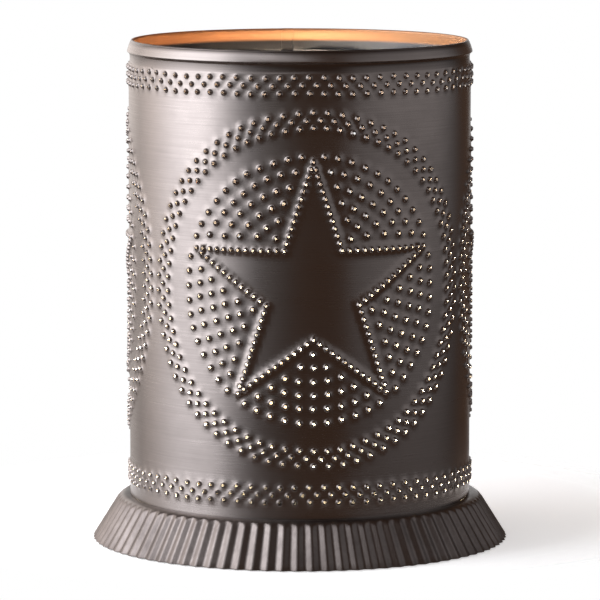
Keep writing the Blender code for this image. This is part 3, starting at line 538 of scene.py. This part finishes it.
class Sleeve:
    """The mesh of the rolled sheet, made third by third."""

    def __init__(self, foot, top):
        self.foot = foot
        self.top = top
        self.width = math.tau * SLEEVE_R
        self.seam = math.radians(90 + MEDALLION_TURN)
        self.verts = []
        self.normals = {}
        self.outside = []
        self.burrs = []
        self.inside = []

    def bearing(self, x):
        return self.seam + x / SLEEVE_R

    def rolled(self, x, radius, z):
        angle = self.bearing(x)
        return (radius * math.cos(angle), radius * math.sin(angle), z)

    def lap(self, x):
        """The upper sheet's thickness, where the lapped seam has one."""
        return SHEET if min(x, self.width - x) <= SEAM_LAP / 2 - LAP_SHORT else 0.0

    def foot_at(self, x):
        """The foot touches the pan at the front and back, and stands a little off it at the sides."""
        off = max(0.0, -math.cos(2 * (self.bearing(x) + math.pi / 2)))
        return self.foot + FOOT_LIFT * off**2

    def height(self, x, y):
        return self.foot_at(x) if y == 0 else self.foot + y

    def normal(self, x, out, along, climb):
        """Outward direction of the sheet where its relief stands out and rises by so much."""
        angle = self.bearing(x)
        grown = 1 + out / SLEEVE_R
        return (
            grown * math.cos(angle) + along * math.sin(angle),
            grown * math.sin(angle) - along * math.cos(angle),
            -climb * grown,
        )

    def add_panel(self, panel, shift):
        outer = len(self.verts)
        for (x, y), out, along, climb in zip(panel.spots, panel.stand, panel.along, panel.climb):
            x += shift
            self.normals[len(self.verts)] = self.normal(x, out, along, climb)
            self.verts.append(self.rolled(x, SLEEVE_R + self.lap(x) + out, self.height(x, y)))
        inner = len(self.verts)
        for (x, y), out, thick in zip(panel.spots, panel.stand, panel.depth):
            x += shift
            self.verts.append(self.rolled(x, SLEEVE_R + out - thick, self.height(x, y)))
        self.outside += [[outer + i for i in face] for face in panel.sheet + panel.domes]
        self.inside += [[inner + i for i in reversed(face)] for face in panel.sheet]
        for base, foot, hole in panel.lips:
            for i in range(DOT_SIDES):
                n = (i + 1) % DOT_SIDES
                self.burrs.append([outer + hole[i], outer + hole[n], inner + hole[n], inner + hole[i]])
                self.burrs.append([inner + hole[i], inner + hole[n], inner + foot[n], inner + foot[i]])
                self.inside.append([inner + foot[i], inner + foot[n], inner + base[n], inner + base[i]])

    def add_rim(self, across):
        """The neck and the hem, down to the plain wall's inside."""
        first = len(self.verts)
        rows = RIM_OUTSIDE + RIM_INSIDE
        for out, drop in rows:
            self.verts += [self.rolled(x, SLEEVE_R + self.lap(x) + out, self.top - drop) for x in across]
        self.verts += [self.rolled(x, SLEEVE_R - SHEET, self.top - RIM_DROP) for x in across]
        count = len(across)
        for j in range(len(rows)):
            for i in range(count - 1):
                a = first + j * count + i
                self.inside.append([a, a + 1, a + count + 1, a + count])

    def add_foot(self, across):
        """The sheet's lower edge."""
        outer = len(self.verts)
        inner = outer + len(across)
        self.verts += [self.rolled(x, SLEEVE_R + self.lap(x), self.foot_at(x)) for x in across]
        self.verts += [self.rolled(x, SLEEVE_R - SHEET, self.foot_at(x)) for x in across]
        for i in range(len(across) - 1):
            self.inside.append([outer + i, inner + i, inner + i + 1, outer + i + 1])

    def mesh(self, name):
        """The mesh, with the relief's own normals on the outside."""
        mesh = bpy.data.meshes.new(name)
        mesh.from_pydata(self.verts, [], self.outside + self.burrs + self.inside)
        mesh.shade_smooth()
        mesh.set_sharp_from_angle(angle=math.radians(50))
        loops = [(0.0, 0.0, 0.0)] * len(mesh.loops)
        for polygon in mesh.polygons[: len(self.outside)]:
            for index in polygon.loop_indices:
                loops[index] = Vector(self.normals[mesh.loops[index].vertex_index]).normalized()
        mesh.normals_split_custom_set(loops)
        return mesh


def make_sleeve(tin, inner_tin, bare_tin):
    low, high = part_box("shade")
    sleeve = Sleeve(low[2] - SLEEVE_SINK, high[2])
    third = sleeve.width / MEDALLIONS
    panel = Panel(third, sleeve.top - sleeve.foot - RIM_DROP)
    for k in range(MEDALLIONS):
        across = [x + k * third for x in panel.columns]
        sleeve.add_panel(panel, k * third)
        sleeve.add_rim(across)
        sleeve.add_foot(across)
    mesh = sleeve.mesh("punched_sleeve")
    for material in (tin, inner_tin, bare_tin):
        mesh.materials.append(material)
    inside_start = len(sleeve.outside) + len(sleeve.burrs)
    for polygon in mesh.polygons[len(sleeve.outside) : inside_start]:
        polygon.material_index = BARE
    for polygon in mesh.polygons[inside_start:]:
        centre = polygon.center
        outward = centre.x * polygon.normal.x + centre.y * polygon.normal.y
        if outward < INWARD * math.hypot(centre.x, centre.y):
            polygon.material_index = INNER
    piece = bpy.data.objects.new("punched_sleeve", mesh)
    bpy.context.scene.collection.objects.link(piece)
    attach(piece, "shade")
    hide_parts("shade")


def flute_shares():
    """(place, depth share) over one flute from its crest: straight flanks, rounded at crest and valley."""
    steep = 1 / (0.5 - FLUTE_ROUND)
    bend = FLUTE_ROUND / 2
    crest = [(bend * i / 2, steep * bend * (i / 4) ** 2) for i in range(5)]
    down = crest + [(0.5 - place, 1 - deep) for place, deep in crest[::-1]]
    return down + [(1 - place, deep) for place, deep in down[-2:0:-1]]


def pan_rings(top, stand, foot_r):
    """(radius, height, share of the flutes' depth) out over the shoulder, down the flank and back inside."""
    slope = math.atan2(foot_r - PAN_TOP_R, top - stand)
    turn = math.pi / 2 - slope
    start = PAN_TOP_R - PAN_SHOULDER
    bend = PAN_SHOULDER / math.tan(turn / 2)
    rings = []
    for i in range(SHOULDER_STEPS + 1):
        angle = turn * i / SHOULDER_STEPS
        share = max(0.0, (i - SHOULDER_PLAIN) / (SHOULDER_STEPS - SHOULDER_PLAIN))
        deep = share * share * (3 - 2 * share)
        rings.append((start + bend * math.sin(angle), top - bend * (1 - math.cos(angle)), deep))
    end_r, end_z, _ = rings[-1]
    for along in FLANK_RINGS:
        rings.append((end_r + (foot_r - end_r) * along, end_z + (stand - end_z) * along, 1.0))
    rings.append((foot_r, stand + PAN_EDGE, 1.0))
    rings.append((foot_r - PAN_EDGE, stand, 1.0))
    wall = PAN_SHEET / math.cos(slope)
    rings.append((foot_r - wall, stand, 1.0))
    rings.append((end_r - wall, end_z, 1.0))
    rings.append((start, top - PAN_SHEET, 0.0))
    return rings


def make_pan(tin):
    low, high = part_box("pan")
    rings = pan_rings(high[2], low[2], high[0])
    shares = flute_shares()
    verts = []
    for radius, z, share in rings:
        for i in range(FLUTES):
            for step, deep in shares:
                angle = math.radians(FLUTE_TURN) + math.tau * (i + step) / FLUTES
                out = radius - FLUTE_DEPTH * deep * share
                verts.append((out * math.cos(angle), out * math.sin(angle), z))
    count = FLUTES * len(shares)
    loops = [range(j * count, (j + 1) * count) for j in range(len(rings))]
    faces = []
    for first, second in zip(loops, loops[1:]):
        faces += collar(first, second)
    faces += [list(loops[0]), list(loops[-1])]
    piece = new_piece("fluted_pan", verts, faces, "base", ["pan"], 50)
    piece.data.materials.append(tin)


class Nodes:
    """The node tree of a material or world, with short calls for the nodes used here."""

    def __init__(self, owner, shader, place):
        owner.use_nodes = True
        self.owner = owner
        self.tree = owner.node_tree
        self.shader = self.tree.nodes[shader]
        self.place = self.tree.nodes.new("ShaderNodeTexCoord").outputs[place]

    def feed(self, value, socket):
        """Sets a number or a colour on a socket, or links another node's output to it."""
        if isinstance(value, (int, float)):
            socket.default_value = value
        elif isinstance(value, tuple):
            socket.default_value = (*value, 1)
        else:
            self.tree.links.new(value, socket)

    def put(self, name, value):
        self.feed(value, self.shader.inputs[name])

    def noise(self, scale, detail=4.0, rough=0.55):
        mapping = self.tree.nodes.new("ShaderNodeMapping")
        mapping.inputs["Scale"].default_value = scale
        self.feed(self.place, mapping.inputs["Vector"])
        node = self.tree.nodes.new("ShaderNodeTexNoise")
        self.feed(mapping.outputs["Vector"], node.inputs["Vector"])
        self.feed(1.0, node.inputs["Scale"])
        self.feed(detail, node.inputs["Detail"])
        self.feed(rough, node.inputs["Roughness"])
        return node.outputs["Fac"]

    def blend(self, coarse, fine, share):
        """This share of the coarse noise and the rest of the fine one."""
        return self.math("ADD", self.math("MULTIPLY", coarse, share), self.math("MULTIPLY", fine, 1 - share))

    def clouds(self, scale, fine_scale, share):
        """Coarse noise blended with fine noise, and the fine noise alone."""
        coarse = self.noise(scale, 6.0, 0.6)
        fine = self.noise(fine_scale, 3.0, 0.6)
        return self.blend(coarse, fine, share), fine

    def ramp(self, value, low, high, start=0.3, end=0.7):
        node = self.tree.nodes.new("ShaderNodeValToRGB")
        node.color_ramp.elements[0].position = start
        node.color_ramp.elements[1].position = end
        node.color_ramp.elements[0].color = (*low, 1)
        node.color_ramp.elements[1].color = (*high, 1)
        self.feed(value, node.inputs["Fac"])
        return node.outputs["Color"]

    def steps(self, value, low, high, stops):
        """A level that goes through these (share, level) stops while the value goes from low to high."""
        node = self.tree.nodes.new("ShaderNodeValToRGB")
        places = node.color_ramp.elements
        while len(places) < len(stops):
            places.new(0.5)
        for place, (share, level) in zip(places, stops):
            place.position = share
            place.color = (level, level, level, 1)
        self.feed(self.span(value, low, high, 0.0, 1.0), node.inputs["Fac"])
        return node.outputs["Color"]

    def split(self):
        """The place's three coordinates."""
        node = self.tree.nodes.new("ShaderNodeSeparateXYZ")
        self.feed(self.place, node.inputs["Vector"])
        return node.outputs["X"], node.outputs["Y"], node.outputs["Z"]

    def span(self, value, from_low, from_high, low, high):
        node = self.tree.nodes.new("ShaderNodeMapRange")
        limits = {"From Min": from_low, "From Max": from_high, "To Min": low, "To Max": high}
        for name, number in limits.items():
            self.feed(number, node.inputs[name])
        self.feed(value, node.inputs["Value"])
        return node.outputs["Result"]

    def math(self, operation, first, second):
        node = self.tree.nodes.new("ShaderNodeMath")
        node.operation = operation
        self.feed(first, node.inputs[0])
        self.feed(second, node.inputs[1])
        return node.outputs["Value"]

    def mix(self, share, first, second):
        node = self.tree.nodes.new("ShaderNodeMix")
        node.data_type = "RGBA"
        for name, value in (("Factor", share), ("A", first), ("B", second)):
            sockets = [s for s in node.inputs if s.name == name and s.enabled]
            self.feed(value, sockets[0])
        return [s for s in node.outputs if s.enabled][0]

    def bump(self, height, distance):
        node = self.tree.nodes.new("ShaderNodeBump")
        self.feed(1.0, node.inputs["Strength"])
        self.feed(distance, node.inputs["Distance"])
        self.feed(height, node.inputs["Height"])
        self.put("Normal", node.outputs["Normal"])

    def radius(self):
        """Distance from the object's axis."""
        across, deep, _ = self.split()
        square = self.math("ADD", self.math("POWER", across, 2.0), self.math("POWER", deep, 2.0))
        return self.math("SQRT", square, 0.0)

    def rays(self, *kinds):
        """1 for rays of these kinds, and 0 for all others."""
        seen = self.tree.nodes.new("ShaderNodeLightPath")
        total = seen.outputs[kinds[0]]
        for kind in kinds[1:]:
            total = self.math("MINIMUM", self.math("ADD", total, seen.outputs[kind]), 1.0)
        return total


def new_material(name):
    return Nodes(bpy.data.materials.new(name), "Principled BSDF", "Object")


def metal(name, dark, pale, rough, brushed=(40, 40, 1600), scratch=0.00002):
    """Metal with cloudy colour and fine lines, which lie across the scale's largest number."""
    made = new_material(name)
    both, lines = made.clouds((28, 28, 28), brushed, 0.65)
    made.put("Base Color", made.ramp(both, dark, pale, 0.32, 0.68))
    made.put("Roughness", made.span(both, 0.35, 0.65, rough * 1.2, rough * 0.85))
    made.put("Metallic", 1.0)
    made.bump(lines, scratch)
    return made.owner


def blackened_tin():
    """The sleeve's outside: paler where the punching stands out, and painted shade in the neck."""
    made = new_material("blackened_tin")
    cloud = made.noise((22, 22, 30), 7.0, 0.62)
    lines = made.noise((30, 30, 2200), 4.0, 0.65)
    both = made.blend(cloud, lines, 0.6)
    colour = made.ramp(both, *BLACKENED, 0.35, 0.65)
    worn = made.span(made.radius(), SLEEVE_R + 0.0004, SLEEVE_R + 0.0010, 0.0, 0.35)
    colour = made.mix(worn, colour, WORN)
    # painted shade: the outside of the neck and the curled-in top edge are darkened
    neck_shade_share = made.span(made.radius(), SLEEVE_R - 0.0006, SLEEVE_R - 0.0001, 0.85, 0.0)
    made.put("Base Color", made.mix(neck_shade_share, colour, NECK_PAINTED_SHADE))
    made.put("Roughness", made.span(both, 0.38, 0.62, 0.34, 0.25))
    made.put("Metallic", 1.0)
    made.bump(lines, 0.00002)
    return made.owner


def pressed_tin():
    """The pan: dark where it shows, and bare under the sleeve."""
    made = new_material("pressed_tin")
    both, fine = made.clouds((60, 60, 60), (900, 900, 260), 0.7)
    colour = made.ramp(both, *PRESSED, 0.35, 0.65)
    inside = made.span(made.radius(), SLEEVE_R - 0.0025, SLEEVE_R - 0.0015, 1.0, 0.0)
    made.put("Base Color", made.mix(inside, colour, PAN_TOP))
    made.put("Roughness", made.span(both, 0.38, 0.62, 0.38, 0.28))
    made.put("Metallic", 1.0)
    made.bump(fine, 0.00003)
    return made.owner


def inner_tin():
    """The sleeve's inside: painted lamp light low down fading to painted shade higher up, painted shade and
    a painted cool reflection in the neck, and a painted orange lamp glow in the hem.
    """
    made = new_material("inner_tin")
    both, lines = made.clouds((30, 30, 30), (30, 30, 1400), 0.6)
    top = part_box("shade")[1][2]
    across, _, rise = made.split()
    wall = made.ramp(both, *INNER_WALL, 0.35, 0.65)
    # painted orange lamp glow on the hem's inside, paler towards +X
    hem = made.ramp(both, *HEM_PAINTED_GLOW, 0.35, 0.65)
    hem = made.mix(made.span(across, -0.05, 0.05, 0.0, 1.0), hem, HEM_PAINTED_GLOW_RIGHT)
    # painted shade inside the neck, turning to a painted cool reflection towards +X
    painted_neck_shade_and_reflection = made.ramp(both, *INNER_NECK_PAINTED_SHADE, 0.35, 0.65)
    painted_neck_shade_and_reflection = made.mix(made.span(across, 0.0, 0.040, 0.0, 1.0), painted_neck_shade_and_reflection, INNER_NECK_PAINTED_REFLECTION)
    neck_start, neck_end = (top - drop for drop in NECK_DROPS)
    hem_start, hem_end = (top - drop for drop in HEM_DROPS)
    neck = made.mix(made.span(rise, hem_start, hem_end, 0.0, 1.0), painted_neck_shade_and_reflection, hem)
    # painted lamp falloff: the pale wall darkens with height, beginning higher towards +X
    lean = made.math("SUBTRACT", rise, made.math("MULTIPLY", across, DIM_LEAN))
    dim = made.mix(made.span(lean, *DIM_HEIGHTS, 0.0, DIM_SHARE), wall, INNER_PAINTED_SHADE)
    made.put("Base Color", made.mix(made.span(rise, neck_start, neck_end, 0.0, 1.0), dim, neck))
    rougher = made.span(rise, hem_start, hem_end, 0.0, 0.20)
    made.put("Roughness", made.math("ADD", made.span(both, 0.38, 0.62, 0.46, 0.38), rougher))
    made.put("Metallic", made.span(rise, neck_start, neck_end, 0.15, 1.0))
    made.bump(lines, 0.00002)
    return made.owner


def plain(name, dark, pale, rough, grain=400):
    """A moulded, rubber or mineral surface with fine grain."""
    made = new_material(name)
    speck = made.noise((grain, grain, grain), 5.0, 0.6)
    made.put("Base Color", made.ramp(speck, dark, pale))
    made.put("Roughness", made.span(speck, 0.3, 0.7, rough * 1.1, rough * 0.9))
    made.bump(speck, 0.00003)
    return made.owner


def lit_glass():
    """Frosted glass of the lit bulb."""
    made = new_material("lit_glass")
    haze = made.noise((300, 300, 300), 3.0, 0.5)
    made.put("Emission Color", made.ramp(haze, (1.0, 0.62, 0.30), (1.0, 0.72, 0.40)))
    made.put("Base Color", made.ramp(haze, (0.85, 0.80, 0.72), (0.95, 0.92, 0.85)))
    made.put("Emission Strength", 1.5)
    made.put("Roughness", 0.35)
    return made.owner


def make_bulb_glass(material):
    low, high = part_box("bulb_glass")
    cap_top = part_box("bulb_cap")[1][2]
    foot = cap_top + 0.0003
    outside = [(BULB_NECK_R, low[2])]
    outside += [(BULB_R * share, foot + (high[2] - foot) * along) for share, along in GLASS_SHAPE]
    inside = [(max(r - BULB_WALL, 0.0001), z - (BULB_WALL if r < 0.003 else 0)) for r, z in outside]
    profile = outside + inside[::-1]
    place = (LAMP_X, LAMP_Y)
    glass = turned("bulb_envelope", profile, 40, "bulb", ["bulb_glass"], material, place)
    glass.visible_shadow = False
    lamp = bpy.data.lights.new("lamp_glow", "POINT")
    lamp.energy = LAMP_POWER
    lamp.color = LAMP_COLOUR
    lamp.shadow_soft_size = 0.008
    glow = bpy.data.objects.new("lamp_glow", lamp)
    glow.location = (LAMP_X, LAMP_Y, cap_top + BULB_WIDEST * (high[2] - cap_top))
    glow.visible_camera = False
    glow.parent = glass
    bpy.context.scene.collection.objects.link(glow)


def make_plate(material):
    """The hot plate: rings turned into its face, a rounded edge and a hollow underside."""
    low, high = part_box("hot_plate")
    radius = (high[0] - low[0]) / 2
    top = high[2]
    profile = [(0.0002, top - GROOVE)]
    for i in range(1, 12):
        profile.append((radius * 0.80 * i / 12, top - (GROOVE if i % 2 else 0.0)))
    profile += [
        (radius * 0.86, top),
        (radius - 0.0016, top),
        (radius - 0.0008, top - 0.0002),
        (radius - 0.0002, top - 0.0008),
        (radius, top - 0.0016),
        (radius, low[2]),
        (radius - PLATE_WALL, low[2]),
        (radius - PLATE_WALL, top - PLATE_WALL),
        (0.0002, top - PLATE_WALL),
    ]
    turned("plate_skin", profile, 72, "base", ["hot_plate"], material, (0, HEATER_Y))


def dress_nodes():
    """Materials for the CAD nodes that stay in view."""
    plated = metal("plated_steel", (0.42, 0.41, 0.38), (0.62, 0.60, 0.56), 0.35)
    cover = metal("cover_steel", (0.05, 0.043, 0.040), (0.09, 0.078, 0.072), 0.45, (600, 600, 600))
    looks = {
        "blackened_tin": cover,
        "plated_steel": plated,
        "plate_aluminium": plated,
        "brass": metal("brass", (0.50, 0.33, 0.12), (0.72, 0.52, 0.22), 0.32),
        "rubber": plain("rubber", (0.012, 0.012, 0.012), (0.03, 0.03, 0.03), 0.75),
        "moulding": plain("moulding", (0.015, 0.013, 0.012), (0.035, 0.03, 0.028), 0.4),
        "nylon": plain("nylon", (0.60, 0.57, 0.48), (0.74, 0.71, 0.62), 0.5),
        "mica": plain("mica", (0.35, 0.26, 0.13), (0.60, 0.48, 0.28), 0.5, 250),
        "bulb_glass": plain("stem_glass", (0.75, 0.74, 0.70), (0.85, 0.84, 0.80), 0.15),
    }
    slots = {entry["node"]: entry["material_slot"] for entry in frame["record"]["subparts"]}
    for name, obj in frame["nodes"].items():
        obj.data.materials.clear()
        obj.data.materials.append(looks[slots[name]])


def make_stage():
    """A pale round floor, which fades into the white behind it."""
    mesh = bpy.data.meshes.new("floor")
    reach = FLOOR_REACH
    corners = [(-reach, -reach, 0), (reach, -reach, 0), (reach, reach, 0), (-reach, reach, 0)]
    mesh.from_pydata(corners, [], [(0, 1, 2, 3)])
    floor = bpy.data.objects.new("floor", mesh)
    floor.location = (0, FLOOR_MIDDLE, 0)
    bpy.context.scene.collection.objects.link(floor)
    made = new_material("floor")
    grain = made.noise((3, 3, 3), 2.0, 0.5)
    direct = made.rays("Is Camera Ray", "Is Glossy Ray", "Is Transmission Ray")
    made.put("Base Color", made.ramp(grain, (0.93, 0.93, 0.93), (0.96, 0.96, 0.96)))
    made.put("Roughness", 0.9)
    made.put("Specular IOR Level", 0.0)
    made.put("Emission Strength", made.math("MULTIPLY", direct, FLOOR_GLOW))
    made.put("Emission Color", WHITE)
    made.put("Alpha", made.span(made.radius(), FLOOR_REACH * 0.70, FLOOR_REACH * 0.98, 1.0, 0.0))
    mesh.materials.append(made.owner)


def softbox(name, azimuth, distance, size, middle, glow, colour, across, upward, tilt=0.0, back=None):
    """A large soft light, seen by the object and the floor but not by the camera.

    Its glow goes through the stops of across, in the order of rising bearing, and of upward. Back is the
    colour of its first third.
    """
    wide, high = size[0] / 2, size[1] / 2
    mesh = bpy.data.meshes.new(name)
    corners = [(-wide, 0, -high), (wide, 0, -high), (wide, 0, high), (-wide, 0, high)]
    mesh.from_pydata(corners, [], [(0, 1, 2, 3)])
    made = new_material(name)
    sideways, _, rise = made.split()
    level = made.steps(sideways, -wide, wide, across)
    level = made.math("MULTIPLY", level, made.steps(rise, -high, high, upward))
    made.put("Emission Strength", made.math("MULTIPLY", level, glow))
    made.put("Emission Color", colour)
    if back:
        fade = made.span(sideways, BACK_END * wide, COLOUR_START * wide, 0.0, 1.0)
        made.put("Emission Color", made.mix(fade, back, colour))
    made.put("Base Color", (0.0, 0.0, 0.0))
    made.put("Specular IOR Level", 0.0)
    mesh.materials.append(made.owner)
    obj = bpy.data.objects.new(name, mesh)
    turn = math.radians(azimuth)
    obj.location = (distance * math.sin(turn), -distance * math.cos(turn), middle)
    obj.rotation_euler = (-math.radians(tilt), 0, turn)
    obj.visible_camera = False
    obj.visible_shadow = False
    bpy.context.scene.collection.objects.link(obj)


def make_light():
    """The soft lights, in a dim warm world that is white behind the object and to the camera."""
    world = bpy.data.worlds.new("studio")
    bpy.context.scene.world = world
    made = Nodes(world, "Background", "Generated")
    _, depth, _ = made.split()
    fade = made.ramp(depth, WORLD_WARM, WHITE, 0.93, 0.992)
    made.put("Color", made.mix(made.rays("Is Camera Ray"), fade, WHITE))
    for box in SOFTBOXES:
        softbox(**box)


def make_camera():
    camera = bpy.data.cameras.new("camera")
    camera.lens = LENS
    camera.sensor_width = 36
    camera.clip_end = 50
    obj = bpy.data.objects.new("camera", camera)
    obj.location = CAMERA_PLACE
    obj.rotation_euler = (math.radians(CAMERA_PITCH), 0, 0)
    bpy.context.scene.collection.objects.link(obj)
    bpy.context.scene.camera = obj


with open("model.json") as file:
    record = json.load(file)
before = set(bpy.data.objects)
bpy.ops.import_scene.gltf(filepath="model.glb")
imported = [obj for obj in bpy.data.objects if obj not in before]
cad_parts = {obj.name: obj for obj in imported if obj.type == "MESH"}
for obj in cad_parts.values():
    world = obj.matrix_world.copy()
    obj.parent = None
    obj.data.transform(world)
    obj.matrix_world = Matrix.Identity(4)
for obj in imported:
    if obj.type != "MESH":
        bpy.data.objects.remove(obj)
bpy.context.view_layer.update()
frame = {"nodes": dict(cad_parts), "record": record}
bpy.context.scene.view_settings.view_transform = "Standard"
dress_nodes()
burr_tin = metal("burr_tin", (0.44, 0.40, 0.36), (0.62, 0.58, 0.53), 0.5, (900, 900, 900))
make_sleeve(blackened_tin(), inner_tin(), burr_tin)
make_pan(pressed_tin())
make_bulb_glass(lit_glass())
make_plate(metal("plate_metal", (0.36, 0.36, 0.36), (0.52, 0.52, 0.51), 0.42, (500, 500, 500)))
make_stage()
make_light()
make_camera()
